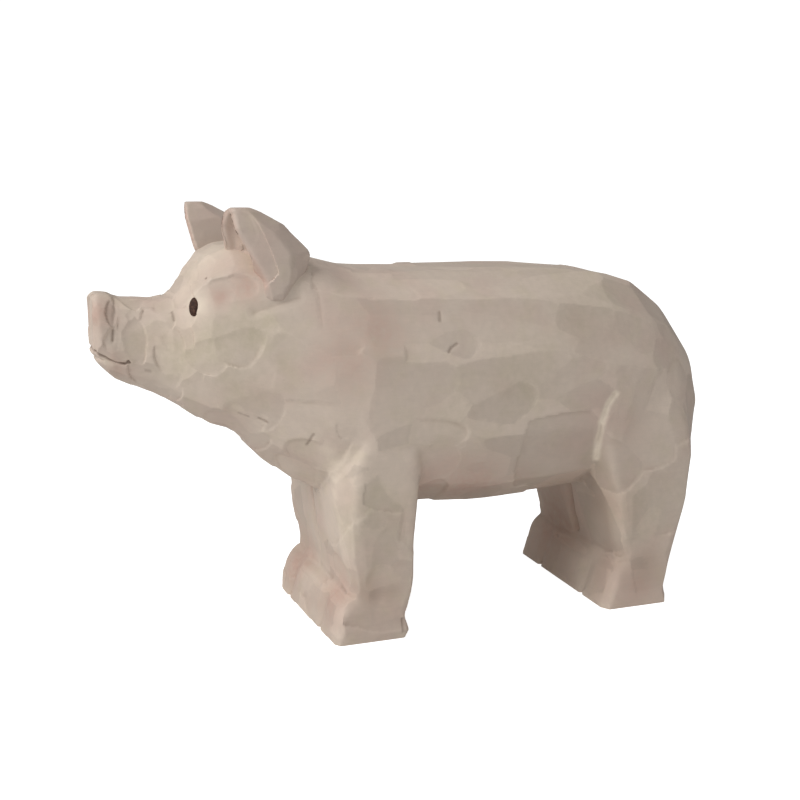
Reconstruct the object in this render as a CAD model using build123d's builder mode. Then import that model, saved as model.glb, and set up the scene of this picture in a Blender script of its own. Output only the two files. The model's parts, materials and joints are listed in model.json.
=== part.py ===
from build123d import *
import os

# A standing pig, knife carved from pale wood. The trunk, the head and the two pairs
# of legs are one block. The ears are carved leaves let into seats on the head, the
# eyes are oval dark inlays pressed into sockets, and the curled tail has a peg in a
# blind hole in the rump.
#
# Sizes are in millimetres. The head points to -Y, the pig's left side to +X, up is +Z,
# and the origin is on the ground in the middle of the figure.

# Overall sizes
body_length = 109.0
body_width = 36.0
back_height = 61.2

# Ears, measured on one ear
ear_height = 14.6
ear_length = 14.0
ear_width = 8.8
ear_wall = 1.2
ear_inset = 2.9
right_ear_forward = 3.0

# Eyes
eye_width = 1.7
eye_height = 3.0
eye_depth = 2.6
eye_proud = 0.35
eye_bevel = 0.3

# Tail
tail_thickness = 2.1
tail_tip_thickness = 1.2
tail_steps = 14
tail_sides = 8
tail_curl_radius = 2.1
tail_stem = 2.2
tail_lift = 0.3
tail_peg_diameter = 1.5
tail_peg_depth = 3.0

# Knife cuts
mouth_width = 0.7
mouth_depth = 0.8
nostril_width = 0.9
nostril_height = 1.6
nostril_depth = 0.8
nostril_spacing = 2.8
leg_groove_width = 2.4
leg_groove_depth = 1.6
hoof_cleft_width = 1.3
hoof_cleft_depth = 0.9
overrun = 3.0

# Half outlines of a cross-section, from the top down, as shares of the section's
# half width and height
snout_outline_shares = [(0.42, 1.00), (0.84, 0.87), (1.00, 0.62), (0.98, 0.36), (0.78, 0.12), (0.36, 0.00)]
head_outline_shares = [(0.44, 1.00), (0.84, 0.89), (0.97, 0.68), (1.00, 0.42), (0.80, 0.14), (0.36, 0.00)]
neck_outline_shares = [(0.42, 1.00), (0.82, 0.89), (1.00, 0.66), (0.98, 0.36), (0.72, 0.13), (0.30, 0.00)]
trunk_outline_shares = [(0.40, 1.00), (0.80, 0.90), (1.00, 0.68), (0.98, 0.34), (0.76, 0.12), (0.30, 0.00)]
rump_outline_shares = [(0.42, 1.00), (0.80, 0.85), (1.00, 0.60), (0.98, 0.32), (0.78, 0.12), (0.40, 0.00)]

# Cross-sections from the snout to the rump: place as a share of the length, top and
# underside as shares of the back's height, half width as a share of the width
body_section_shares = [
    (-0.500, 0.940, 0.800, 0.104, snout_outline_shares),
    (-0.491, 0.953, 0.772, 0.134, snout_outline_shares),
    (-0.472, 0.950, 0.735, 0.138, snout_outline_shares),
    (-0.464, 0.940, 0.726, 0.126, snout_outline_shares),
    (-0.445, 0.940, 0.710, 0.139, snout_outline_shares),
    (-0.410, 0.934, 0.684, 0.164, head_outline_shares),
    (-0.380, 0.940, 0.650, 0.206, head_outline_shares),
    (-0.333, 1.045, 0.592, 0.300, head_outline_shares),
    (-0.300, 1.070, 0.574, 0.338, head_outline_shares),
    (-0.255, 1.076, 0.490, 0.378, neck_outline_shares),
    (-0.208, 1.056, 0.424, 0.418, neck_outline_shares),
    (-0.163, 1.031, 0.386, 0.456, trunk_outline_shares),
    (-0.098, 1.000, 0.343, 0.482, trunk_outline_shares),
    (-0.006, 0.994, 0.327, 0.489, trunk_outline_shares),
    (0.104, 0.991, 0.315, 0.494, trunk_outline_shares),
    (0.214, 0.984, 0.323, 0.494, trunk_outline_shares),
    (0.306, 0.971, 0.345, 0.494, rump_outline_shares),
    (0.370, 0.936, 0.355, 0.478, rump_outline_shares),
    (0.425, 0.862, 0.362, 0.446, rump_outline_shares),
    (0.467, 0.770, 0.376, 0.362, rump_outline_shares),
    (0.493, 0.665, 0.430, 0.250, rump_outline_shares),
    (0.500, 0.600, 0.490, 0.176, rump_outline_shares),
]

# Plans of the leg blocks, from the ground up: height as a share of the back's height,
# the near and far front corners and the rear as shares of the length, half width as a
# share of the width, and the cuts at the near front, far front and rear corners as
# shares of the width
front_leg_shares = [
    (0.000, -0.175, -0.184, -0.062, 0.494, 0.035, 0.140, 0.030),
    (0.015, -0.175, -0.184, -0.051, 0.500, 0.035, 0.130, 0.030),
    (0.070, -0.172, -0.178, -0.061, 0.500, 0.035, 0.110, 0.030),
    (0.107, -0.161, -0.167, -0.049, 0.489, 0.040, 0.090, 0.030),
    (0.122, -0.144, -0.147, -0.045, 0.478, 0.045, 0.070, 0.030),
    (0.155, -0.143, -0.146, -0.041, 0.472, 0.045, 0.060, 0.030),
    (0.262, -0.155, -0.158, -0.040, 0.478, 0.070, 0.070, 0.040),
    (0.376, -0.163, -0.165, -0.033, 0.483, 0.100, 0.100, 0.050),
    (0.490, -0.165, -0.165, -0.026, 0.478, 0.150, 0.150, 0.060),
    (0.600, -0.148, -0.148, -0.037, 0.467, 0.200, 0.200, 0.060),
]
rear_leg_shares = [
    (0.000, 0.284, 0.286, 0.415, 0.500, 0.045, 0.045, 0.085),
    (0.040, 0.290, 0.291, 0.412, 0.500, 0.045, 0.045, 0.085),
    (0.101, 0.302, 0.301, 0.419, 0.492, 0.045, 0.045, 0.085),
    (0.135, 0.319, 0.319, 0.423, 0.481, 0.050, 0.050, 0.085),
    (0.229, 0.304, 0.304, 0.438, 0.483, 0.060, 0.060, 0.085),
    (0.327, 0.295, 0.295, 0.457, 0.489, 0.080, 0.080, 0.125),
    (0.425, 0.270, 0.270, 0.471, 0.489, 0.120, 0.120, 0.165),
    (0.523, 0.247, 0.247, 0.475, 0.486, 0.180, 0.180, 0.200),
    (0.640, 0.254, 0.254, 0.449, 0.450, 0.200, 0.200, 0.200),
]
corner_slope_share = 0.62

# Plans of one ear, from its root to its tip: height share, then the corners from the
# outer front edge round the back to the inner front edge, as shares of its size
ear_section_shares = [
    (0.00, [(0.36, -0.10), (0.43, 0.09), (0.09, 0.30), (-0.36, 0.19), (-0.45, -0.13)]),
    (0.21, [(0.42, -0.06), (0.48, 0.19), (0.16, 0.40), (-0.39, 0.30), (-0.50, -0.27)]),
    (0.49, [(0.45, -0.23), (0.45, 0.21), (0.18, 0.50), (-0.34, 0.26), (-0.50, -0.43)]),
    (0.79, [(0.42, -0.41), (0.39, -0.03), (0.18, 0.21), (-0.25, -0.02), (-0.34, -0.49)]),
    (0.95, [(0.35, -0.43), (0.34, -0.24), (0.18, -0.09), (-0.09, -0.24), (-0.14, -0.47)]),
    (1.00, [(0.28, -0.41), (0.26, -0.29), (0.18, -0.23), (0.05, -0.30), (0.05, -0.41)]),
]

# The ear's hollow, from its floor up: height share, then the inner face of the outer
# wall, the deepest point and the inner face of the inner wall
ear_hollow_shares = [
    (0.29, [(0.30, -0.22), (0.05, -0.17), (-0.20, -0.25)]),
    (0.52, [(0.45, -0.19), (0.02, -0.03), (-0.48, -0.30)]),
    (0.79, [(0.42, -0.32), (0.07, -0.17), (-0.34, -0.37)]),
    (0.94, [(0.32, -0.39), (0.11, -0.36), (-0.08, -0.40)]),
]
ear_place_shares = (-0.251, 0.938)
ear_side_height_share = 0.80
hollow_mouth_share = 0.75

# Places on the skin: share of the length and of the section's height
eye_place_shares = (-0.358, 0.815)
mouth_place_shares = [(-0.494, 0.05), (-0.481, 0.14), (-0.454, 0.25)]
nostril_height_share = 0.58
tail_place_share = 0.55

# Grooves in the leg blocks: front or rear face, place across as a share of the width,
# and foot and top as shares of the back's height
front_leg_groove_shares = [
    ("front", -0.030, 0.115, 0.400),
    ("rear", 0.000, 0.000, 0.300),
]
rear_leg_groove_shares = [
    ("rear", 0.000, 0.000, 0.400),
    ("front", 0.000, 0.150, 0.320),
]
hoof_cleft_place_share = 0.240
hoof_cleft_height_share = 0.107


def section_corners(row):
    """Corners of one cross-section's left half, from the top down."""
    place, top, underside, half_width, outline = row
    low = underside * back_height
    high = top * back_height
    corners = []
    for width_share, height_share in outline:
        x = width_share * half_width * body_width
        z = low + height_share * (high - low)
        corners.append(Vector(x, place * body_length, z))
    return corners


def skin_point(place_share, height_share):
    """A point of the left skin at a share of the length and of the section's height."""
    for ahead, behind in zip(body_section_shares, body_section_shares[1:]):
        if ahead[0] <= place_share <= behind[0]:
            blend = (place_share - ahead[0]) / (behind[0] - ahead[0])
            pairs = list(zip(section_corners(ahead), section_corners(behind)))
            corners = [front + (back - front) * blend for front, back in pairs]
            break
    height = corners[-1].Z + height_share * (corners[0].Z - corners[-1].Z)
    for upper, lower in zip(corners, corners[1:]):
        if lower.Z <= height <= upper.Z:
            return lower + (upper - lower) * ((height - lower.Z) / (upper.Z - lower.Z))
    return corners[0]


def skin_normal(place_share, height_share):
    """The direction that the left skin faces at that point."""
    step_share = 0.004
    here = skin_point(place_share, height_share)
    along = skin_point(place_share + step_share, height_share) - here
    upward = skin_point(place_share, height_share + step_share) - here
    return along.cross(upward).normalized()


def mirrored(point, side):
    """The same point or direction on the left side (1) or the right side (-1)."""
    return Vector(point.X * side, point.Y, point.Z)


def plan_corners(row):
    """Corners of a leg block's plan, with cut corners, from the near front corner round."""
    near_front, far_front, rear, half_width = row[1:5]
    near_cut, far_cut, rear_cut = [share * body_width for share in row[5:]]
    x = half_width * body_width
    near_y = near_front * body_length
    far_y = far_front * body_length
    rear_y = rear * body_length
    return [
        (x - near_cut, near_y),
        (x, near_y + near_cut * corner_slope_share),
        (x, rear_y - rear_cut * corner_slope_share),
        (x - rear_cut, rear_y),
        (-x + rear_cut, rear_y),
        (-x, rear_y - rear_cut * corner_slope_share),
        (-x, far_y + far_cut * corner_slope_share),
        (-x + far_cut, far_y),
    ]


def leg_face(rows, face, place_share, height_share):
    """A point of a leg block's front or rear face at a share of the back's height."""
    for lower, upper in zip(rows, rows[1:]):
        if lower[0] <= height_share <= upper[0]:
            blend = (height_share - lower[0]) / (upper[0] - lower[0])
            near, far, rear = [low + (high - low) * blend for low, high in zip(lower[1:4], upper[1:4])]
            break
    across = 1 / 2 + place_share
    depth_share = rear if face == "rear" else far + (near - far) * across
    return Vector(place_share * body_width, depth_share * body_length, height_share * back_height)


# Ears
def ear_point(corner, side, forward):
    """A corner of the ear's plan, in the part's own frame."""
    x = side * (ear_middle + corner[0] * ear_width)
    return (x, ear_place_shares[0] * body_length + corner[1] * ear_length - forward)


ear_root = ear_place_shares[1] * back_height
ear_middle = skin_point(ear_place_shares[0], ear_side_height_share).X - ear_inset
ears = {}
for name, side, forward in (("left_ear", 1, 0), ("right_ear", -1, right_ear_forward)):
    with BuildPart() as ear:
        for height_share, corners in ear_section_shares:
            with BuildSketch(Plane.XY.offset(ear_root + height_share * ear_height)):
                with BuildLine():
                    Polyline(*[ear_point(corner, side, forward) for corner in corners], close=True)
                make_face()
        loft(ruled=True)
        for height_share, corners in ear_hollow_shares:
            outer, deepest, inner = corners
            outer = (outer[0] - ear_wall / ear_width, outer[1])
            inner = (inner[0] + ear_wall / ear_width, inner[1])
            outline = [
                (outer[0], -hollow_mouth_share),
                outer,
                deepest,
                inner,
                (inner[0], -hollow_mouth_share),
            ]
            with BuildSketch(Plane.XY.offset(ear_root + height_share * ear_height)):
                with BuildLine():
                    Polyline(*[ear_point(corner, side, forward) for corner in outline], close=True)
                make_face()
        loft(ruled=True, mode=Mode.SUBTRACT)
    ear.part.label = name
    ears[name] = ear

# Eyes
eye_centre = skin_point(*eye_place_shares)
eye_normal = skin_normal(*eye_place_shares)
eyes = {}
for name, side in (("left_eye", 1), ("right_eye", -1)):
    outward = mirrored(eye_normal, side)
    level = Vector(0, 0, 1).cross(outward).normalized()
    seat = mirrored(eye_centre, side) - outward * eye_depth
    with BuildPart() as eye:
        with BuildSketch(Plane(origin=seat, x_dir=level, z_dir=outward)):
            Ellipse(eye_width / 2, eye_height / 2)
        extrude(amount=eye_depth + eye_proud)
        chamfer(eye.faces().sort_by(Axis(seat, outward))[-1].edges(), eye_bevel)
    eye.part.label = name
    eyes[name] = eye

# Tail
tail_upper = section_corners(body_section_shares[-3])[0]
tail_lower = section_corners(body_section_shares[-2])[0]
rump_slope = Vector(0, tail_upper.Y - tail_lower.Y, tail_upper.Z - tail_lower.Z)
rump_normal = rump_slope.cross(Vector(1, 0, 0)).normalized()
tail_centre = Vector(0, tail_lower.Y, tail_lower.Z) + rump_slope * tail_place_share + rump_normal * tail_lift
rump_plane = Plane(origin=tail_centre, x_dir=(-1, 0, 0), z_dir=rump_normal)
with BuildPart() as tail:
    with BuildLine(rump_plane) as curl:
        stem = Line((-tail_curl_radius, tail_stem), (-tail_curl_radius, 0))
        CenterArc((0, 0), tail_curl_radius, 180, 270)
    path = curl.wires()[0]
    for step in range(tail_steps + 1):
        along_share = step / tail_steps
        thickness = tail_thickness + (tail_tip_thickness - tail_thickness) * along_share
        with BuildSketch(Plane(origin=path @ along_share, x_dir=rump_normal, z_dir=path % along_share)):
            RegularPolygon(thickness / 2, tail_sides)
    loft(ruled=True)
    with BuildSketch(Plane(origin=stem @ 1 - rump_normal * tail_peg_depth, z_dir=rump_normal)):
        Circle(tail_peg_diameter / 2)
    extrude(amount=tail_peg_depth)
tail.part.label = "tail"

# Lines of the knife cuts: start, end, the way that the cut opens, width and depth
knife_cuts = []
mouth_points = [skin_point(*place) for place in mouth_place_shares]
for side in (1, -1):
    outward = mirrored(skin_normal(*mouth_place_shares[1]), side)
    for start, end in zip(mouth_points, mouth_points[1:]):
        overlap = (end - start).normalized() * mouth_width
        ends = [mirrored(point, side) for point in (start - overlap, end + overlap)]
        knife_cuts.append((*ends, outward, mouth_width, mouth_depth))
lip_left, lip_right = [mirrored(mouth_points[0], side) for side in (1, -1)]
knife_cuts.append((lip_right, lip_left, Vector(0, -1, -1), mouth_width, mouth_depth))
for rows, grooves in ((front_leg_shares, front_leg_groove_shares), (rear_leg_shares, rear_leg_groove_shares)):
    for face, place, foot, top in grooves:
        ends = [leg_face(rows, face, place, height) for height in (foot, top)]
        outward = Vector(0, 1 if face == "rear" else -1, 0)
        knife_cuts.append((*ends, outward, leg_groove_width, leg_groove_depth))
    for place in (hoof_cleft_place_share, -hoof_cleft_place_share):
        ends = [leg_face(rows, "front", place, height) for height in (0, hoof_cleft_height_share)]
        knife_cuts.append((*ends, Vector(0, -1, 0), hoof_cleft_width, hoof_cleft_depth))

# Body
with BuildPart() as body:
    for row in body_section_shares:
        left = [(corner.X, corner.Z) for corner in section_corners(row)]
        right = [(-x, z) for x, z in reversed(left)]
        with BuildSketch(Plane.XZ.offset(-row[0] * body_length)):
            with BuildLine():
                Polyline(*(left + right), close=True)
            make_face()
    loft(ruled=True)

    # Leg blocks
    for rows in (front_leg_shares, rear_leg_shares):
        for row in rows:
            with BuildSketch(Plane.XY.offset(row[0] * back_height)):
                with BuildLine():
                    Polyline(*plan_corners(row), close=True)
                make_face()
        loft(ruled=True)

    # Knife cuts with a V section: the mouth, the splits of the legs and the hoof clefts
    for start, end, outward, width, depth in knife_cuts:
        along = end - start
        spread = width / 2 * (depth + overrun) / depth
        with BuildSketch(Plane(origin=start, x_dir=outward, z_dir=along)):
            with BuildLine():
                Polyline((overrun, -spread), (-depth, 0), (overrun, spread), close=True)
            make_face()
        extrude(amount=along.length, mode=Mode.SUBTRACT)

    # Nostrils
    snout_top, snout_foot = [corner.Z for corner in section_corners(body_section_shares[0])[::5]]
    nostril_z = snout_foot + nostril_height_share * (snout_top - snout_foot)
    with BuildSketch(Plane.XZ.offset(-body_section_shares[0][0] * body_length)):
        with Locations((nostril_spacing / 2, nostril_z), (-nostril_spacing / 2, nostril_z)):
            Ellipse(nostril_width / 2, nostril_height / 2)
    extrude(amount=-nostril_depth, mode=Mode.SUBTRACT)

    # Seats of the ears, the eyes and the tail
    for piece in (*ears.values(), *eyes.values(), tail):
        add(piece.part, mode=Mode.SUBTRACT)
body.part.label = "body"

os.makedirs("parts", exist_ok=True)
pieces = [body, *ears.values(), *eyes.values(), tail]
for piece in pieces:
    export_step(piece.part, f"parts/{piece.part.label}.step")
    size = piece.part.bounding_box().size
    print(piece.part.label, round(size.X, 1), round(size.Y, 1), round(size.Z, 1))
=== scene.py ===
# %% [markdown]
# A carved wooden pig stands on a pale floor. The real one is cut with a knife from a
# block of soft pale wood and washed with thin pink and cream paint, so what the eye
# reads is the knife: hundreds of shallow scoops that meet in crisp ridges.
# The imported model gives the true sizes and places, and everything below is built on it.

# %% Load the frame
import json
import math

import bpy
import numpy as np
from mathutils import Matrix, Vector
from mathutils.bvhtree import BVHTree

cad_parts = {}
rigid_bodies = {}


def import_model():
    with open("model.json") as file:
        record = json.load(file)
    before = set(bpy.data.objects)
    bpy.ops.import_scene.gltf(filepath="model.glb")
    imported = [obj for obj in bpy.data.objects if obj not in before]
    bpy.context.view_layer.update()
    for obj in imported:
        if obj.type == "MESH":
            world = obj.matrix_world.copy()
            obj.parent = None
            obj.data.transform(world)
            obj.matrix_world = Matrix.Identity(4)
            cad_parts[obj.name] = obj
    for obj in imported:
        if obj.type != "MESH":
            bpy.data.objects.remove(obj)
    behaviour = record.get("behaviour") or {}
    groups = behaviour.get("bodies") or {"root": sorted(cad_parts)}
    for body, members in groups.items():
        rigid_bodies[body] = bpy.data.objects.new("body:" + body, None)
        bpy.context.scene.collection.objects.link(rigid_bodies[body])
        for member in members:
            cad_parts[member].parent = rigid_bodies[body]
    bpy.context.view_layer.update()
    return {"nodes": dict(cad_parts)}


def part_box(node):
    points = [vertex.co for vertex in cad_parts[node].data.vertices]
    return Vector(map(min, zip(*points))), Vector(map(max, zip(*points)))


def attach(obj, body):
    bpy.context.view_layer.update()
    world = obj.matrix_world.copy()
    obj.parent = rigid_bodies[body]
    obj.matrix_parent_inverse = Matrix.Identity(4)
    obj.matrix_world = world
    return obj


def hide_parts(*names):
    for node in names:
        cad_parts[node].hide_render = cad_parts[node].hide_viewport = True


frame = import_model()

MM = 0.001
nodes = frame["nodes"]
print("nodes:", sorted(nodes))

# %% [markdown]
# The camera comes first, because every later choice is judged through it. The picture
# was taken from close by, a little in front of the pig's left side and a little above
# it: the near foot looks much larger than the far one.

# %% Camera
camera_azimuth = math.radians(69.86)
camera_elevation = math.radians(11.48)
camera_distance = 230.0 * MM
camera_aim = Vector((0.0, -1.26, 37.15)) * MM

camera_data = bpy.data.cameras.new("camera")
camera_data.sensor_width = 36.0
camera_data.lens = 58.41
camera_data.clip_start = 1 * MM
camera = bpy.data.objects.new("camera", camera_data)
bpy.context.collection.objects.link(camera)
towards_camera = Vector((
    math.sin(camera_azimuth) * math.cos(camera_elevation),
    -math.cos(camera_azimuth) * math.cos(camera_elevation),
    math.sin(camera_elevation),
))
camera.location = camera_aim + towards_camera * camera_distance
camera.rotation_euler = towards_camera.to_track_quat("Z", "Y").to_euler()
bpy.context.scene.camera = camera
print("camera at", [round(c / MM) for c in camera.location], "mm")

# %% [markdown]
# An operator works on all that is selected, and loading leaves the model selected.
# So each piece starts with nothing selected and one active object. A copy of a model
# mesh is loose triangles, and its doubles are merged before anything else.


# %% Helpers for objects
def activate(piece):
    """Selects one object alone and makes it active."""
    bpy.ops.object.select_all(action="DESELECT")
    piece.select_set(True)
    bpy.context.view_layer.objects.active = piece


def merged_copy(node, name):
    """A new object with a copy of a model node's mesh, its doubles merged."""
    piece = bpy.data.objects.new(name, nodes[node].data.copy())
    piece.data.materials.clear()
    bpy.context.collection.objects.link(piece)
    activate(piece)
    bpy.ops.object.mode_set(mode="EDIT")
    bpy.ops.mesh.select_all(action="SELECT")
    bpy.ops.mesh.remove_doubles(threshold=0.001 * MM)
    bpy.ops.object.mode_set(mode="OBJECT")
    return piece


def apply_modifier(piece, kind, **settings):
    """Adds one modifier with its settings and applies it."""
    activate(piece)
    modifier = piece.modifiers.new(kind, kind)
    for key, value in settings.items():
        setattr(modifier, key, value)
    bpy.ops.object.modifier_apply(modifier=modifier.name)


def read_points(piece):
    """The mesh's points in millimetres, one row each."""
    flat = np.empty(len(piece.data.vertices) * 3, np.float32)
    piece.data.vertices.foreach_get("co", flat)
    return flat.reshape(-1, 3).astype(float) / MM


def write_points(piece, points):
    """Moves the mesh's points to these places, in millimetres."""
    piece.data.vertices.foreach_set("co", (points * MM).astype(np.float32).ravel())
    piece.data.update()


def read_normals(piece):
    """The mesh's point normals, one row each."""
    flat = np.empty(len(piece.data.vertices) * 3, np.float32)
    piece.data.vertex_normals.foreach_get("vector", flat)
    return flat.reshape(-1, 3).astype(float)


def select_points(piece, chosen):
    """Selects these points, and the faces that lie wholly among them."""
    mesh = piece.data
    mesh.vertices.foreach_set("select", chosen)
    corners = np.empty(len(mesh.loops), np.int32)
    mesh.loops.foreach_get("vertex_index", corners)
    starts = np.empty(len(mesh.polygons), np.int32)
    mesh.polygons.foreach_get("loop_start", starts)
    whole = np.logical_and.reduceat(chosen[corners], starts)
    mesh.polygons.foreach_set("select", whole)
    edges = np.empty(len(mesh.edges) * 2, np.int32)
    mesh.edges.foreach_get("vertices", edges)
    mesh.edges.foreach_set("select", chosen[edges.reshape(-1, 2)].all(axis=1))


def read_edges(piece):
    """The two ends of each edge, one row each."""
    ends = np.empty(len(piece.data.edges) * 2, np.int32)
    piece.data.edges.foreach_get("vertices", ends)
    return ends.reshape(-1, 2)


def averaged(values, ends, rounds):
    """Each point's values, averaged with its neighbours' a number of times."""
    count = np.bincount(ends.ravel(), minlength=len(values)) + 1.0
    values = values.copy()
    for _ in range(rounds):
        for column in range(values.shape[1]):
            old = values[:, column]
            total = old + np.bincount(ends[:, 0], old[ends[:, 1]], len(old))
            total += np.bincount(ends[:, 1], old[ends[:, 0]], len(old))
            values[:, column] = total / count
    return values


def soften(piece, chosen, rounds):
    """Smooths the chosen points."""
    select_points(piece, chosen)
    activate(piece)
    bpy.ops.object.mode_set(mode="EDIT")
    bpy.ops.mesh.vertices_smooth(factor=0.5, repeat=rounds)
    bpy.ops.object.mode_set(mode="OBJECT")


def fatten(piece, amount):
    """Moves the whole skin outwards, in millimetres."""
    activate(piece)
    bpy.ops.object.mode_set(mode="EDIT")
    bpy.ops.mesh.select_all(action="SELECT")
    bpy.ops.transform.shrink_fatten(value=amount * MM)
    bpy.ops.object.mode_set(mode="OBJECT")


def triangles(piece):
    """How many triangles the mesh has."""
    return sum(len(face.vertices) - 2 for face in piece.data.polygons)


# %% [markdown]
# The body starts as the model's solid. Its seats for the ears, the eyes and the tail
# are filled first, because softening would widen them into gaps. Each seat's points
# are found as those that lie on the piece that sits in it, and their hull is the plug.


# %% Fill the seats
def seat_plug(body_piece, node):
    """A closed hull over the points where the body touches a let-in piece."""
    mesh = nodes[node].data
    corners = [point.co for point in mesh.vertices]
    faces = [face.vertices for face in mesh.polygons]
    tree = BVHTree.FromPolygons(corners, faces)
    touching = []
    for point in body_piece.data.vertices:
        if tree.find_nearest(point.co)[3] < 0.02 * MM:
            touching.append(point.co.copy())
    plug_mesh = bpy.data.meshes.new("plug")
    plug_mesh.from_pydata(touching, [], [])
    plug = bpy.data.objects.new("plug", plug_mesh)
    bpy.context.collection.objects.link(plug)
    activate(plug)
    bpy.ops.object.mode_set(mode="EDIT")
    bpy.ops.mesh.select_all(action="SELECT")
    bpy.ops.mesh.convex_hull()
    bpy.ops.mesh.normals_make_consistent(inside=False)
    bpy.ops.transform.shrink_fatten(value=0.15 * MM)
    bpy.ops.object.mode_set(mode="OBJECT")
    return plug


body = merged_copy("body", "carved_body")
plugs = [seat_plug(body, node) for node in ("left_ear", "right_ear", "left_eye", "right_eye", "tail")]
activate(body)
for plug in plugs:
    plug.select_set(True)
bpy.ops.object.join()
print("body with", len(plugs), "plugs:", triangles(body), "triangles")

# %% [markdown]
# One even skin of small squares makes the solid and its plugs one piece, and lets the
# knife cuts fall anywhere. The face gets squares half as wide. Softening then takes away
# the straight edges between the model's flat faces, less so on the legs and the snout,
# and the soles stay as they are. The clefts of the hooves are only a hint in the real
# one, so they are softened most. The skin grows by the depth that the knife takes away,
# and a little wood is added behind each ear, where it runs into the neck.

# %% Even skin
body_grid = 0.30
face_start = -33.0
snout_start = -47.0
leg_top = 26.0
sole_edge = 0.6
cleft_place = 8.6
cleft_reach = 2.2
cleft_top = 8.5
growth = 0.20
growth_start = 1.0
growth_span = 4.0
sole_snap = 0.35
ear_back_places = [(1, (9.5, -18.8, 59.6)), (-1, (-9.5, -20.3, 59.6))]
ear_back_reach = 3.2
ear_back_rise = (0.35, 0.25, 0.8)

apply_modifier(body, "REMESH", mode="VOXEL", voxel_size=body_grid * MM)
select_points(body, read_points(body)[:, 1] < face_start)
activate(body)
bpy.ops.object.mode_set(mode="EDIT")
bpy.ops.mesh.subdivide(number_cuts=1)
bpy.ops.object.mode_set(mode="OBJECT")
print("even skin:", triangles(body), "triangles")

points = read_points(body)
soften(body, (points[:, 2] > leg_top) & (points[:, 1] > snout_start), 22)
soften(body, points[:, 2] > sole_edge, 14)
points = read_points(body)
cleft = np.abs(np.abs(points[:, 0]) - cleft_place) < cleft_reach
soften(body, cleft & (points[:, 2] > sole_edge) & (points[:, 2] < cleft_top), 60)
before = read_points(body)
fatten(body, growth)

cad_low, cad_high = [np.array(corner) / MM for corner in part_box("body")]
grown = np.clip((before[:, 2:] - growth_start) / growth_span, 0.0, 1.0)
points = before + (read_points(body) - before) * grown
points = np.clip(points, cad_low, cad_high)
for side, middle in ear_back_places:
    far = ((points - np.array(middle)) ** 2).sum(axis=1) / ear_back_reach ** 2
    points += np.array(ear_back_rise) * (side, 1, 1) * np.exp(-far)[:, None]
points[points[:, 2] < sole_snap, 2] = 0.0
write_points(body, points)
print("body box:", np.round(points.min(axis=0), 1), np.round(points.max(axis=0), 1))

# %% [markdown]
# A knife takes a shallow chip that is longer than wide. It goes in gently and stops
# at a short steep end, curved like a thumbnail. Where two chips meet they leave a ridge,
# so the surface is simply the deepest cut at each point.


# %% The knife
def unit(vector):
    """The same direction with length 1."""
    return vector / max(np.linalg.norm(vector), 1e-9)


def make_cut(place, normal, along, length, width, depth):
    """One chip: its place, the way it faces and runs, half its length and width, its depth."""
    normal = unit(np.array(normal, float))
    along = np.array(along, float)
    along = unit(along - normal * (along @ normal))
    return {
        "place": np.array(place, float),
        "normal": normal,
        "along": along,
        "across": np.cross(normal, along),
        "length": length,
        "width": width,
        "depth": depth,
    }


dish_across = 0.66
dish_along = 0.48
end_curve = 0.3
end_steepness = 0.20
least_facing = 0.35
facing_span = 0.4


def carve(points, normals, cuts, deepest=0.35):
    """Moves each point down to the deepest cut there, and also returns which cut it was."""
    best = np.zeros(len(points))
    winner = np.full(len(points), -1)
    for index, cut in enumerate(cuts):
        reach = cut["length"] * 1.7
        offset = points - cut["place"]
        near = np.flatnonzero((offset * offset).sum(axis=1) < reach * reach)
        offset = offset[near]
        run = offset @ cut["along"] / cut["length"]
        side = offset @ cut["across"] / cut["width"]
        rise = offset @ cut["normal"]
        dish = cut["depth"] * (dish_across * side ** 2 + dish_along * run ** 2)
        past = np.maximum(run - 1.0 + end_curve * side ** 2, 0.0) * cut["length"]
        depth = np.maximum(cut["depth"] + rise - dish - end_steepness * past ** 2, 0.0)
        facing = np.clip((normals[near] @ cut["normal"] - least_facing) / facing_span, 0.0, 1.0)
        depth = deepest * np.tanh(depth / deepest) * facing * facing * (3.0 - 2.0 * facing)
        deeper = depth > best[near]
        best[near] = np.where(deeper, depth, best[near])
        winner[near[deeper]] = index
    directions = np.array([cut["normal"] for cut in cuts] + [(0.0, 0.0, 0.0)])
    return points - directions[winner] * best[:, None], winner


most_cuts = 6000
most_tries = 15000
least_spacing = 1.05


def spread_cuts(points, normals, chosen, style, seed, cuts=()):
    """Adds cuts over the chosen points like shingles, clear of the given ones."""
    random = np.random.default_rng(seed)
    cuts = list(cuts)
    places = np.zeros((most_cuts, 3))
    for number, cut in enumerate(cuts):
        places[number] = cut["place"]
    for index in random.permutation(np.flatnonzero(chosen))[:most_tries]:
        place = points[index]
        along, length, width, depth = style(place)
        if cuts:
            offset = place - places[:len(cuts)]
            near = np.flatnonzero((offset * offset).sum(axis=1) < (length * 1.2) ** 2)
            crowded = False
            for other in near:
                run = offset[other] @ cuts[other]["along"]
                side = offset[other] @ cuts[other]["across"]
                rise = offset[other] @ cuts[other]["normal"]
                if (run / length) ** 2 + (side / width) ** 2 + (rise / width) ** 2 < least_spacing:
                    crowded = True
                    break
            if crowded:
                continue
        turn = random.normal(0.0, 0.16)
        along = np.array(along) + np.cross(normals[index], along) * turn
        tilt = random.normal(0.0, 0.03, 3)
        size = random.uniform(0.9, 1.2)
        cuts.append(make_cut(
            place,
            normals[index] + tilt,
            along,
            length * size,
            width * size,
            depth * random.uniform(0.7, 1.3),
        ))
        places[len(cuts) - 1] = place
    return cuts


line_reach = 1.6
far_off = 99.0


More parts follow.
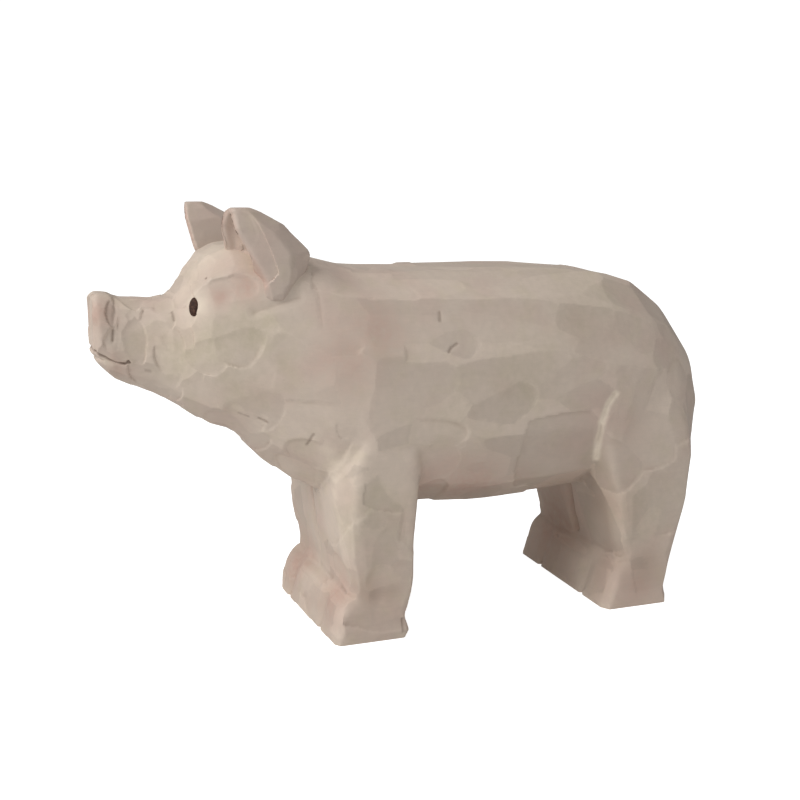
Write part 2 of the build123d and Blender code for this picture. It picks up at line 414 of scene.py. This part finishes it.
def off_line(points, normals, line):
    """How far each point is from a line drawn on the skin, measured along the skin."""
    nearest = np.full(len(points), far_off)
    for start, end in zip(line, line[1:]):
        start, end = np.array(start, float), np.array(end, float)
        span = end - start
        share = np.clip((points - start) @ span / max(span @ span, 1e-9), 0.0, 1.0)
        offset = points - (start + share[:, None] * span)
        rise = (offset * normals).sum(axis=1)
        flat = np.linalg.norm(offset - rise[:, None] * normals, axis=1)
        flat[np.abs(rise) > line_reach] = far_off
        nearest = np.minimum(nearest, flat)
    return nearest


# %% [markdown]
# The seen side is laid cut by cut as in the picture. Along the trunk, each cut is given
# by how far back and how high its middle is, its slope, half its length and width, and
# its depth. On the head, the cheek has a scalloped edge: the cuts above it face up and
# those below it face down. The same cuts serve the other cheek. The lines are where
# only the knife's point went in: the mouth, a few creases and some stray nicks.

# %% Cuts of the seen side
flank_cuts = [
    (-10.0, 58.4, -25, 6.5, 3.0, 0.18), (-1.5, 58.2, 20, 7.0, 3.0, 0.20),
    (8.4, 57.2, 8, 7.5, 3.0, 0.18), (23.5, 57.0, 0, 8.5, 3.0, 0.20), (37.8, 54.8, -12, 5.5, 3.6, 0.18),
    (-5.7, 52.2, -5, 7.0, 3.2, 0.16), (9.0, 52.2, -3, 9.0, 3.0, 0.18), (25.2, 52.4, -2, 7.5, 3.0, 0.23),
    (36.2, 49.8, -20, 6.0, 2.8, 0.18), (1.7, 47.3, 25, 6.0, 3.0, 0.16), (12.6, 45.2, 5, 10.0, 3.9, 0.20),
    (30.2, 47.3, 12, 8.0, 2.9, 0.20), (23.3, 42.6, 25, 7.0, 2.8, 0.17), (-0.2, 39.0, 35, 7.0, 3.2, 0.17),
    (13.2, 35.8, 5, 11.0, 4.4, 0.22), (28.4, 37.0, 60, 6.5, 2.8, 0.17), (33.6, 41.0, 70, 7.0, 2.8, 0.17),
    (38.6, 38.5, 82, 8.0, 2.7, 0.18), (8.9, 27.6, 0, 9.0, 3.0, 0.17), (21.0, 29.2, 15, 7.0, 3.0, 0.17),
    (-15.0, 52.5, 60, 6.0, 3.4, 0.11), (-9.6, 45.5, 50, 8.0, 3.8, 0.12), (-16.0, 41.0, 70, 8.0, 3.4, 0.12),
    (-7.2, 35.5, 60, 8.0, 3.4, 0.13), (-21.0, 47.5, 75, 7.0, 3.0, 0.12), (-1.5, 31.0, 30, 6.0, 3.0, 0.16),
    (36.0, 29.0, 85, 8.0, 2.8, 0.17), (42.0, 33.0, 88, 8.0, 2.6, 0.18), (32.5, 20.5, 88, 7.0, 2.6, 0.16),
    (38.8, 18.5, 88, 7.0, 2.6, 0.17), (-16.6, 27.0, 84, 7.0, 2.4, 0.17), (-11.8, 24.0, 88, 8.0, 2.5, 0.17),
    (-7.0, 21.5, 90, 8.0, 2.4, 0.17), (-14.6, 14.0, 88, 6.5, 2.4, 0.17), (-9.6, 12.5, 90, 6.5, 2.4, 0.16),
]

# Place, lean up or down, slope, half length, half width and depth
head_cuts = [
    ((5.4, -44.3, 46.4), -0.25, 35, 3.0, 2.1, 0.17), ((7.2, -40.2, 48.7), -0.25, 30, 3.0, 2.3, 0.19),
    ((9.6, -36.4, 50.8), -0.25, 28, 3.2, 2.4, 0.21), ((11.6, -32.4, 52.6), -0.22, 25, 3.4, 2.4, 0.19),
    ((13.0, -28.4, 54.1), -0.05, 40, 2.2, 2.0, 0.17), ((5.2, -46.6, 52.0), 0.15, 20, 2.6, 1.9, 0.10),
    ((6.5, -42.8, 53.9), 0.18, 25, 2.8, 1.9, 0.11), ((8.5, -38.8, 56.9), 0.02, 60, 2.8, 2.5, 0.13),
    ((10.7, -35.3, 57.8), 0.25, 35, 2.2, 1.6, 0.17), ((11.9, -32.2, 58.4), 0.20, 30, 2.2, 1.8, 0.13),
    ((7.4, -37.2, 61.0), 0.30, 40, 3.0, 2.2, 0.15), ((12.4, -31.5, 47.6), -0.10, 40, 4.0, 2.8, 0.13),
    ((8.6, -38.0, 45.2), -0.10, 35, 4.0, 2.6, 0.13), ((3.8, -53.4, 54.2), 0.00, 90, 3.2, 1.1, 0.05),
    ((4.8, -51.9, 54.3), 0.00, 90, 3.0, 1.1, 0.05), ((4.6, -49.2, 55.6), 0.10, 20, 2.0, 1.5, 0.05),
    ((4.8, -49.0, 51.6), 0.00, 80, 2.4, 1.5, 0.05), ((13.6, -25.0, 50.0), 0.00, 60, 4.0, 2.6, 0.11),
]

mouth_line = [
    (3.4, -54.2, 49.4), (4.0, -52.7, 48.4), (3.5, -51.0, 47.7), (3.9, -49.6, 47.3), (4.4, -49.1, 47.6),
]
lip_line = [(-3.4, -54.2, 49.4), (0.0, -54.6, 49.6), (3.4, -54.2, 49.4)]
haunch_line = [
    (17.6, 32.0, 39.3), (17.6, 30.6, 37.4), (17.5, 29.6, 34.6), (16.3, 29.6, 31.0), (14.9, 30.1, 27.6),
]

# Lines of the knife's point, with their width, depth and how dark they are
scored_lines = [
    (mouth_line, 0.40, 0.30, 0.55),
    ([(4.38, -49.2, 47.7), (4.42, -49.0, 47.4)], 0.47, 0.24, 0.60),
    ([(2.3, -50.9, 57.3), (4.3, -51.2, 55.2), (4.9, -51.4, 53.0), (4.8, -51.6, 51.0)], 0.77, 0.16, 0.03),
    ([(4.9, -51.5, 52.8), (4.8, -51.6, 51.2)], 0.38, 0.16, 0.33),
    ([(12.3, -30.2, 55.6), (12.6, -28.6, 56.2), (12.9, -26.2, 56.9), (13.0, -23.4, 57.8)], 2.40, 0.30, 0.00),
    ([(13.4, -20.4, 60.5), (13.8, -20.0, 57.3), (14.2, -19.8, 53.0)], 0.77, 0.11, 0.00),
    ([(7.9, -36.95, 60.9), (7.9, -36.85, 60.7)], 0.42, 0.18, 0.54),
    ([(6.0, -42.2, 55.5), (6.3, -41.9, 54.2)], 0.38, 0.11, 0.30),
    ([(4.8, -46.5, 45.9), (4.8, -45.9, 45.8)], 0.59, 0.10, 0.21),
    ([(14.9, 0.1, 54.6), (15.5, 0.0, 53.2)], 0.38, 0.16, 0.36),
    ([(16.9, 2.6, 49.6), (17.2, 1.4, 49.0), (17.4, 0.9, 48.3)], 0.38, 0.16, 0.36),
    ([(13.7, -21.2, 35.5), (12.1, -22.1, 33.4)], 0.36, 0.14, 0.36),
    ([(9.3, -32.6, 39.0), (9.9, -31.1, 38.2)], 0.34, 0.11, 0.24),
    ([(10.4, -29.6, 38.0), (10.7, -28.1, 37.3)], 0.34, 0.13, 0.30),
    (haunch_line[:-1], 1.60, 0.16, 0.00),
    ([(18.0, -7.3, 1.2), (17.9, -7.4, 3.4)], 0.34, 0.18, 0.42),
]


def skin_tree(points, piece):
    """The piece's skin as a search tree, in metres."""
    corners = [tuple(point) for point in points * MM]
    return BVHTree.FromPolygons(corners, [tuple(face.vertices) for face in piece.data.polygons])


def on_left_side(tree, y, z):
    """The skin's place where a level line from the left meets it."""
    start = Vector((beside_body, y, z)) * MM
    return np.array(tree.ray_cast(start, Vector((-1.0, 0.0, 0.0)))[0]) / MM


def sloped(slope):
    """The direction that runs back along the body and climbs by so many degrees."""
    return (0.0, math.cos(math.radians(slope)), math.sin(math.radians(slope)))


beside_body = 60.0
body_normals = averaged(read_normals(body), read_edges(body), 14)
body_normals /= np.maximum(np.linalg.norm(body_normals, axis=1), 1e-9)[:, None]
tree = skin_tree(points, body)
named_cuts = []
for y, z, slope, length, width, depth in flank_cuts:
    place = on_left_side(tree, y, z)
    nearest = np.argmin(((points - place) ** 2).sum(axis=1))
    named_cuts.append(make_cut(place, body_normals[nearest], sloped(slope), length, width, depth))
for side in (1, -1):
    for (x, y, z), lean, slope, length, width, depth in head_cuts:
        place = np.array([x * side, y, z])
        nearest = np.argmin(((points - place) ** 2).sum(axis=1))
        normal = body_normals[nearest] + np.array([0.0, 0.0, lean])
        named_cuts.append(make_cut(points[nearest], normal, sloped(slope), length, width, depth))
print("named cuts:", len(named_cuts))

# %% [markdown]
# The rest of the carving follows the form: long cuts along the flanks and the back,
# upright ones down the legs and round the rump, short ones on the cheeks and the snout.


# %% Lay the cuts
def body_style(place):
    """Direction, half length, half width and depth of a cut at this place."""
    y, z = place[1:]
    forward = np.array([0.0, -1.0, 0.0])
    upward = np.array([0.0, 0.0, 1.0])
    if z < 8.0:
        return upward + forward * 0.1, 3.8, 2.8, 0.06
    if z < 27.0 and (y < 2.0 or y > 24.0):
        return upward, 6.5, 2.7, 0.14
    if y > 42.0:
        return upward - forward * 0.2, 6.5, 3.0, 0.15
    if y < -42.0:
        return forward, 2.6, 1.8, 0.04
    if y < -31.0:
        return forward + upward * 0.3, 3.6, 2.5, 0.09
    if y < -17.0:
        return forward + upward * 0.9, 5.5, 3.2, 0.09
    return -forward + upward * 0.08, 8.5, 3.2, 0.14


body_seed = 11
lowest_cut = 1.2
cuts = spread_cuts(points, body_normals, points[:, 2] > lowest_cut, body_style, body_seed, named_cuts)
print("cuts on the body:", len(cuts))

# %% Carve the body
mirrored_before = -45.0
line_spread = 0.12
ink_spread = 1.6
lip_half_width = 0.37
lip_depth = 0.34
lip_dark = 0.55
carving_start = 0.4
carving_span = 2.5

carved, winner = carve(points, body_normals, cuts)
ink = np.zeros(len(points))
for side in (1, -1):
    for line, width, depth, dark in scored_lines:
        if side < 0 and line[0][1] > mirrored_before:
            continue
        line = [(x * side, y, z) for x, y, z in line]
        reach = width / 2 + line_spread
        share = np.clip(1.0 - off_line(points, body_normals, line) / reach, 0.0, 1.0)
        carved -= body_normals * (depth * share)[:, None]
        ink = np.maximum(ink, dark * np.clip(share * ink_spread, 0.0, 1.0))
share = np.clip(1.0 - off_line(points, body_normals, lip_line) / lip_half_width, 0.0, 1.0)
carved -= body_normals * (lip_depth * share)[:, None]
ink = np.maximum(ink, lip_dark * share)
carved = points + (carved - points) * np.clip((points[:, 2:] - carving_start) / carving_span, 0.0, 1.0)
carved = np.clip(carved, cad_low, cad_high)
write_points(body, carved)
soften(body, points[:, 2] > sole_edge, 1)


def write_value(piece, name, values):
    """Stores one number for each point of the mesh."""
    attributes = piece.data.attributes
    attribute = attributes.get(name) or attributes.new(name, "FLOAT", "POINT")
    attribute.data.foreach_set("value", values.astype(np.float32))


def read_value(piece, name):
    """The numbers stored for the points of the mesh."""
    values = np.empty(len(piece.data.vertices), np.float32)
    piece.data.attributes[name].data.foreach_get("value", values)
    return values


full_hollow = 0.08


def keep_carving(piece, winner, count, seed):
    """Stores a chance value for each cut, and how hollow or raised each point is."""
    chance = np.append(np.random.default_rng(seed).uniform(-1.0, 1.0, count), 0.0)
    write_value(piece, "tone", chance[winner])
    places = read_points(piece)
    hollow = ((averaged(places, read_edges(piece), 5) - places) * read_normals(piece)).sum(axis=1)
    write_value(piece, "hollow", np.clip(hollow / full_hollow, -1.0, 1.0))


keep_carving(body, winner, len(cuts), 5)
write_value(body, "ink", ink)
print("carved:", triangles(body), "triangles")

# %% Thin out the flat stretches
body_triangles = 196000
apply_modifier(body, "DECIMATE", decimate_type="COLLAPSE", ratio=min(1.0, body_triangles / triangles(body)))
print("thinned:", triangles(body), "triangles")

# %% [markdown]
# The ears are leaves with a hollow. Each is made an even skin, softened a little and
# carved with short upright cuts. Their roots stay in the head, so no gap opens.


# %% Ears
def ear_style(place):
    """Direction, half length, half width and depth of a cut on an ear."""
    return np.array([0.0, 0.25, 1.0]), 4.2, 2.4, 0.10


ear_grid = 0.2
ear_growth = 0.20
ear_deepest = 0.3
ear_relief_share = 0.4


def dress_ear(node, seed):
    """A carved copy of one ear."""
    ear = merged_copy(node, "carved_" + node)
    apply_modifier(ear, "REMESH", mode="VOXEL", voxel_size=ear_grid * MM)
    soften(ear, np.ones(len(ear.data.vertices), bool), 18)
    fatten(ear, ear_growth)
    low, high = [np.array(corner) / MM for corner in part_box(node)]
    places = np.clip(read_points(ear), low, high)
    write_points(ear, places)
    facing = averaged(read_normals(ear), read_edges(ear), 5)
    facing /= np.maximum(np.linalg.norm(facing, axis=1), 1e-9)[:, None]
    ear_cuts = spread_cuts(places, facing, np.ones(len(places), bool), ear_style, seed)
    places, ear_winner = carve(places, facing, ear_cuts, ear_deepest)
    write_points(ear, places)
    keep_carving(ear, ear_winner, len(ear_cuts), seed)
    write_value(ear, "ink", np.zeros(len(places)))
    write_value(ear, "hollow", read_value(ear, "hollow") * ear_relief_share)
    print(node, "cuts:", len(ear_cuts), "triangles:", triangles(ear))
    return ear


ears = {node: dress_ear(node, seed) for node, seed in (("left_ear", 21), ("right_ear", 22))}

# %% [markdown]
# The eyes are oval plugs, rounded a little at the rim. The tail keeps the eight whittled
# sides of its model.


# %% Eyes and tail
def round_off(node, grid, rounds, growth):
    """A softened copy of one small piece."""
    piece = merged_copy(node, "carved_" + node)
    apply_modifier(piece, "REMESH", mode="VOXEL", voxel_size=grid * MM)
    soften(piece, np.ones(len(piece.data.vertices), bool), rounds)
    fatten(piece, growth)
    low, high = [np.array(corner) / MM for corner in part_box(node)]
    write_points(piece, np.clip(read_points(piece), low, high))
    print(node, "triangles:", triangles(piece))
    return piece


eyes = {node: round_off(node, 0.09, 10, 0.05) for node in ("left_eye", "right_eye")}
tail = round_off("tail", 0.12, 3, 0.03)
for name in ("tone", "hollow", "ink"):
    write_value(tail, name, np.zeros(len(tail.data.vertices)))

# %% [markdown]
# The wash is uneven. Rosy paint gathers on the shoulder, the belly, the brow, the ears
# and the feet, a greenish straw colour shows on the cheeks and the sides, and in a few
# places the knife left pale bare wood. Painted shade, a darker brown, lies above the
# hooves and on the fronts of the hind legs, and two rosy patches on the near hind leg
# stand for shade as much as for paint. Each patch is a soft ball, given by its middle,
# its radius and its strength, and each mesh point stores how much of each it gets.

# %% Patches of colour
patches = {
    "rosy_and_shade": [
        ((16.0, -11.0, 52.3), 5.0, 0.55), ((16.6, -15.9, 47.9), 6.0, 0.45), ((12.8, 6.9, 23.6), 6.5, 0.75),
        ((13.0, -1.0, 25.0), 4.0, 0.5), ((14.0, 16.0, 24.0), 4.0, 0.4), ((6.5, -36.8, 62.0), 3.5, 0.3),
        ((10.6, -35.4, 58.3), 1.9, 0.75), ((12.2, -31.4, 59.8), 2.6, 0.8), ((-8.5, -17.7, 5.5), 5.0, 0.8),
        ((11.3, -17.6, 6.5), 5.0, 0.7), ((14.0, -13.0, 8.0), 3.5, 0.5), ((-6.5, 34.4, 9.5), 9.0, 0.8),
        ((4.3, -53.6, 55.5), 2.6, 0.75), ((-4.3, -53.6, 54.5), 2.6, 0.6), ((3.8, -51.5, 48.2), 1.6, 0.5),
        # The first two balls on this line darken the near hind leg's front: painted shade, laid in the rosy
        # colour.
        ((13.0, 27.0, 17.0), 6.0, 0.8), ((14.0, 28.0, 8.0), 5.0, 0.6), ((18.0, 38.0, 4.0), 4.0, 0.45),
        ((17.0, 34.0, 33.0), 5.0, 0.25), ((-15.0, -8.0, 48.0), 7.0, 0.5),
        ((-15.0, 20.0, 30.0), 7.0, 0.4), ((-12.5, 8.0, 23.0), 6.0, 0.6), ((-11.0, -34.0, 57.0), 3.0, 0.5),
        ((-17.0, 36.0, 12.0), 6.0, 0.4), ((0.0, 52.0, 34.0), 6.0, 0.35), ((3.6, -51.0, 46.0), 2.2, 0.45),
    ],
    "straw": [
        ((7.0, -41.0, 49.0), 4.0, 0.7), ((9.8, -36.5, 50.5), 4.2, 0.75), ((12.6, -30.5, 52.5), 4.0, 0.7),
        ((13.3, -28.4, 54.3), 1.7, 0.9), ((14.0, -25.9, 48.0), 2.0, 0.5), ((12.0, -33.0, 44.0), 5.0, 0.35),
        ((17.0, 14.0, 44.0), 6.0, 0.4), ((17.5, 2.0, 37.0), 5.0, 0.3), ((17.0, -12.0, 22.0), 6.0, 0.4),
        ((17.5, 36.0, 18.0), 6.0, 0.4), ((4.6, -47.0, 50.5), 2.5, 0.5), ((12.0, 30.0, 57.0), 8.0, 0.35),
        ((16.0, 25.2, 52.3), 5.0, 0.35), ((-9.8, -36.5, 50.5), 4.5, 0.6), ((-16.0, 10.0, 45.0), 7.0, 0.4),
        ((-12.0, 28.0, 57.0), 8.0, 0.35), ((0.0, -28.0, 64.0), 4.0, 0.2), ((14.5, -24.0, 27.0), 5.0, 0.3),
    ],
    "bare": [
        ((8.5, -38.8, 56.9), 2.0, 0.8), ((8.2, -40.4, 55.4), 1.6, 0.5), ((2.5, -17.2, 62.6), 1.7, 0.8),
        ((13.6, -18.8, 32.3), 1.4, 0.5), ((13.6, -18.0, 30.0), 1.3, 0.6), ((13.2, -17.6, 27.8), 1.2, 0.5),
        ((12.8, -17.6, 25.0), 1.1, 0.4), ((4.0, -52.6, 47.7), 1.1, 0.6), ((8.3, -31.5, 66.0), 1.6, 0.4),
        ((-8.5, -38.8, 56.9), 2.2, 0.5), ((3.5, -36.0, 63.0), 4.0, 0.4), ((5.0, -40.5, 59.0), 2.5, 0.35),
    ],
    # Painted shade: a darker brown above the hooves and on the hind legs' fronts, where the legs and the belly
    # shade them.
    "painted_shade": [
        ((17.6, 34.0, 9.0), 3.6, 0.35), ((17.8, 39.5, 7.4), 3.6, 0.35), ((17.5, -13.0, 8.2), 3.0, 0.35),
        ((17.6, -9.0, 7.6), 2.6, 0.35), ((13.5, 27.5, 16.0), 5.5, 0.6), ((13.0, 28.0, 7.0), 5.0, 0.5),
        ((-6.5, 34.4, 9.5), 8.0, 0.30), ((15.5, 29.5, 26.0), 2.5, 0.35), ((-17.6, 36.0, 8.0), 4.0, 0.5),
    ],
}


strip_half_width = 0.65
strip_strength = 0.85


def paint(piece):
    """Stores how much of each patch every mesh point gets."""
    places = read_points(piece)
    off_strip = off_line(places, read_normals(piece), haunch_line)
    strip = np.clip(1.5 - off_strip / strip_half_width, 0.0, 1.0)
    for name, balls in patches.items():
        amount = np.zeros(len(places))
        for middle, radius, strength in balls:
            far = ((places - np.array(middle)) ** 2).sum(axis=1) / radius ** 2
            amount = np.maximum(amount, strength * np.exp(-far))
        if name == "bare":
            amount = np.maximum(amount, strip_strength * strip)
        write_value(piece, name, amount)


for piece in (body, *ears.values(), tail):
    paint(piece)

# %% The hollows of the ears are painted rosy
hollow_foot = 57.5
hollow_foot_span = 2.5
ear_top = 69.5
ear_top_span = 2.0
hollow_strength = 0.85

for ear in ears.values():
    places = read_points(ear)
    facing = averaged(read_normals(ear), read_edges(ear), 8)
    front = np.clip(-facing[:, 1] * 1.6 - 0.6, 0.0, 1.0)
    front *= np.clip((places[:, 2] - hollow_foot) / hollow_foot_span, 0.0, 1.0)
    top = np.clip((places[:, 2] - ear_top) / ear_top_span, 0.0, 1.0)
    amount = hollow_strength * front * (1 - 0.5 * top)
    write_value(ear, "rosy_and_shade", np.maximum(read_value(ear, "rosy_and_shade"), amount))

# %% Smooth the pieces, hang them on the root body and hide the model's nodes
dressed = {"body": body, **ears, **eyes, "tail": tail}
for node, piece in dressed.items():
    activate(piece)
    bpy.ops.object.shade_smooth_by_angle(angle=math.radians(40))
    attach(piece, "root")
    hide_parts(node)
print("dressed pieces:", sorted(dressed))

# %% [markdown]
# Materials: one small function adds a node with its settings and links.


# %% Material helpers
def linear(code):
    """An sRGB hex colour as linear red, green, blue and alpha."""
    parts = [int(code[start:start + 2], 16) / 255 for start in (1, 3, 5)]
    return [c / 12.92 if c <= 0.04045 else ((c + 0.055) / 1.055) ** 2.4 for c in parts] + [1.0]


def add(tree, kind, settings=None, links=None):
    """Adds a node, sets its properties and sockets, and links its inputs."""
    node = tree.nodes.new(kind)
    for key, value in (settings or {}).items():
        if isinstance(key, str) and hasattr(node, key):
            setattr(node, key, value)
        else:
            node.inputs[key].default_value = value
    for key, source in (links or {}).items():
        tree.links.new(source, node.inputs[key])
    return node


def start_material(name):
    """An empty material with its output node."""
    material = bpy.data.materials.new(name)
    material.use_nodes = True
    tree = material.node_tree
    tree.nodes.clear()
    output = tree.nodes.new("ShaderNodeOutputMaterial")
    return material, tree, output


def noise(tree, place, per_mm, detail, stretch=(1.0, 1.0, 1.0)):
    """A noise whose blobs come so many to the millimetre, drawn out where the stretch is small."""
    scale = [per_mm / MM * share for share in stretch]
    spot = add(tree, "ShaderNodeVectorMath", {"operation": "MULTIPLY", 1: scale}, {0: place})
    settings = {"Scale": 1.0, "Detail": detail, "Roughness": 0.55}
    return add(tree, "ShaderNodeTexNoise", settings, {"Vector": spot.outputs[0]}).outputs["Fac"]


def fit(tree, value, low, high, start=0.0, end=1.0):
    """The value moved from one span to another and held inside it."""
    settings = {"From Min": low, "From Max": high, "To Min": start, "To Max": end}
    return add(tree, "ShaderNodeMapRange", settings, {"Value": value}).outputs[0]


def times(tree, first, second):
    """Two values multiplied. Either may be a plain number."""
    settings = {index: value for index, value in enumerate((first, second)) if isinstance(value, float)}
    links = {index: value for index, value in enumerate((first, second)) if not isinstance(value, float)}
    return add(tree, "ShaderNodeMath", {"operation": "MULTIPLY", **settings}, links).outputs[0]


def tint(tree, colour, code, share):
    """Mixes another colour in, by a share."""
    return add(tree, "ShaderNodeMix", {"data_type": "RGBA", 7: linear(code)}, {0: share, 6: colour}).outputs[2]


def value_of(tree, name):
    """A number that the mesh points store."""
    return add(tree, "ShaderNodeAttribute", {"attribute_name": name}).outputs["Fac"]


# %% [markdown]
# The wash: a pale base with slow pink and straw clouds, the patches broken up by noise,
# each cut a touch lighter or darker than its neighbours, worn ridges that also carry a
# painted highlight, painted shade in the hollows, and brown in the scored lines. Grain
# and knife marks are a fine bump.


# %% Washed wood
def washed_wood(name, base):
    """Thin matt paint on carved wood."""
    material, tree, output = start_material(name)
    place = add(tree, "ShaderNodeTexCoord").outputs["Object"]
    slow = noise(tree, place, 0.09, 2.0)
    cloud = noise(tree, place, 0.22, 3.0)
    mottle = noise(tree, place, 0.8, 4.0)
    grain = noise(tree, place, 2.6, 3.0, (1.0, 0.16, 1.0))
    speck = noise(tree, place, 3.4, 2.0)
    ground = add(tree, "ShaderNodeRGB")
    ground.outputs[0].default_value = linear(base)
    colour = tint(tree, ground.outputs[0], "#C9B0A3", fit(tree, slow, 0.45, 0.72, 0.0, 0.55))
    colour = tint(tree, colour, "#C6B9A2", fit(tree, cloud, 0.5, 0.72, 0.0, 0.4))
    # Rosy paint; on the near hind leg the same colour is also painted shade.
    rosy_and_shade = times(tree, value_of(tree, "rosy_and_shade"), fit(tree, mottle, 0.3, 0.6, 0.55, 1.0))
    colour = tint(tree, colour, "#BB998B", rosy_and_shade)
    straw = times(tree, value_of(tree, "straw"), fit(tree, mottle, 0.35, 0.65, 0.8, 0.45))
    colour = tint(tree, colour, "#BDB297", straw)
    # Painted shade: the dark brown patches above the hooves and on the hind legs.
    colour = tint(tree, colour, "#98836F", value_of(tree, "painted_shade"))
    tone = fit(tree, value_of(tree, "tone"), -1.0, 1.0, 0.92, 1.06)
    patchy = fit(tree, mottle, 0.3, 0.7, 0.965, 1.03)
    streak = fit(tree, grain, 0.3, 0.7, 0.985, 1.015)
    light = times(tree, times(tree, tone, patchy), streak)
    colour = add(tree, "ShaderNodeVectorMath", {"operation": "SCALE"}, {0: colour, "Scale": light}).outputs[0]
    hollow = value_of(tree, "hollow")
    bare = times(tree, value_of(tree, "bare"), fit(tree, mottle, 0.3, 0.55, 0.7, 1.0))
    colour = tint(tree, colour, "#EBDCC8", bare)
    # Ridges lighter: edge wear on the paint, and a painted highlight along them.
    worn_and_highlight = times(tree, fit(tree, hollow, -0.15, -0.9), fit(tree, cloud, 0.42, 0.6, 0.0, 0.22))
    colour = tint(tree, colour, "#E9DAC8", worn_and_highlight)
    # Painted shade: the hollows of the cuts turn darker brown.
    hollow_shade = times(tree, fit(tree, hollow, 0.12, 0.9), fit(tree, cloud, 0.4, 0.6, 0.30, 0.1))
    colour = tint(tree, colour, "#8D745F", hollow_shade)
    dots = times(tree, fit(tree, speck, 0.745, 0.78), 0.35)
    colour = tint(tree, colour, "#9A8068", dots)
    colour = tint(tree, colour, "#4E3022", value_of(tree, "ink"))
    heights = {0: times(tree, grain, 0.5), 1: times(tree, mottle, 0.8)}
    height = add(tree, "ShaderNodeMath", {"operation": "ADD"}, heights).outputs[0]
    bump = add(tree, "ShaderNodeBump", {"Strength": 0.35, "Distance": 0.12 * MM}, {"Height": height})
    rough = fit(tree, mottle, 0.3, 0.7, 0.55, 0.72)
    shader = add(tree, "ShaderNodeBsdfPrincipled", {"Specular IOR Level": 0.35},
                 {"Base Color": colour, "Roughness": rough, "Normal": bump.outputs[0]})
    tree.links.new(shader.outputs[0], output.inputs[0])
    return material


wash = washed_wood("washed_wood", "#D0C0B1")
# The ears get a darker base than the body: painted shade, for ears that sit in shade.
shaded_ear_wash = washed_wood("ear_wood", "#C6B5A8")
for piece in (body, tail):
    piece.data.materials.append(wash)
for ear in ears.values():
    ear.data.materials.append(shaded_ear_wash)


# %% Eye inlay
def eye_material():
    """Dark stained wood, a little glossy."""
    material, tree, output = start_material("eye_inlay")
    place = add(tree, "ShaderNodeTexCoord").outputs["Object"]
    mottle = noise(tree, place, 2.2, 3.0)
    ground = add(tree, "ShaderNodeRGB")
    ground.outputs[0].default_value = linear("#3A251C")
    colour = tint(tree, ground.outputs[0], "#5C4032", fit(tree, mottle, 0.45, 0.7))
    settings = {"Roughness": 0.6, "Specular IOR Level": 0.25}
    shader = add(tree, "ShaderNodeBsdfPrincipled", settings, {"Base Color": colour})
    tree.links.new(shader.outputs[0], output.inputs[0])
    return material


eye_finish = eye_material()
for eye in eyes.values():
    eye.data.materials.append(eye_finish)

# %% [markdown]
# A white paper floor runs past the horizon. To the camera it also glows a little, so it
# is plain white but for the soft shadow round the feet. A big window in front of the
# pig lights the brow, and a weaker one on its left keeps the flank in soft shade.

# %% Floor, sky and lamps
floor_size = 6.0
floor_glow = 0.84
bpy.ops.object.select_all(action="DESELECT")
bpy.ops.mesh.primitive_plane_add(size=floor_size)
floor = bpy.context.object
floor.name = "floor"


def floor_material():
    """White paper that glows to the camera."""
    material, tree, output = start_material("floor_paper")
    ray = add(tree, "ShaderNodeLightPath").outputs["Is Camera Ray"]
    paper = add(tree, "ShaderNodeBsdfDiffuse", {"Color": linear("#E6E6E6")})
    strength = times(tree, ray, floor_glow)
    glow = add(tree, "ShaderNodeEmission", {"Color": linear("#FFFFFF")}, {"Strength": strength})
    both = add(tree, "ShaderNodeAddShader", {}, {0: paper.outputs[0], 1: glow.outputs[0]})
    tree.links.new(both.outputs[0], output.inputs[0])
    return material


floor.data.materials.append(floor_material())

sky_light = 0.36
sky_glow = 1.1
world = bpy.data.worlds.new("studio")
bpy.context.scene.world = world
world.use_nodes = True
sky = world.node_tree
sky.nodes.clear()
sky_output = sky.nodes.new("ShaderNodeOutputWorld")
sky_ray = add(sky, "ShaderNodeLightPath").outputs["Is Camera Ray"]
sky_strength = fit(sky, sky_ray, 0.0, 1.0, sky_light, sky_glow)
sky_back = add(sky, "ShaderNodeBackground", {"Color": linear("#FFFFFF")}, {"Strength": sky_strength})
sky.links.new(sky_back.outputs[0], sky_output.inputs[0])


def add_lamp(name, place, aim, size, power):
    """A square soft lamp that faces the aim point, in millimetres and watts."""
    data = bpy.data.lights.new(name, "AREA")
    data.size = size * MM
    data.energy = power
    lamp = bpy.data.objects.new(name, data)
    bpy.context.collection.objects.link(lamp)
    lamp.location = Vector(place) * MM
    lamp.rotation_euler = (Vector(place) - Vector(aim)).to_track_quat("Z", "Y").to_euler()
    return lamp


add_lamp("front_window", (110, -460, 430), (0, -10, 35), 300, 2.2)
add_lamp("left_fill", (520, -60, 260), (0, 0, 35), 420, 0.35)

scene = bpy.context.scene
scene.view_settings.view_transform = "Standard"
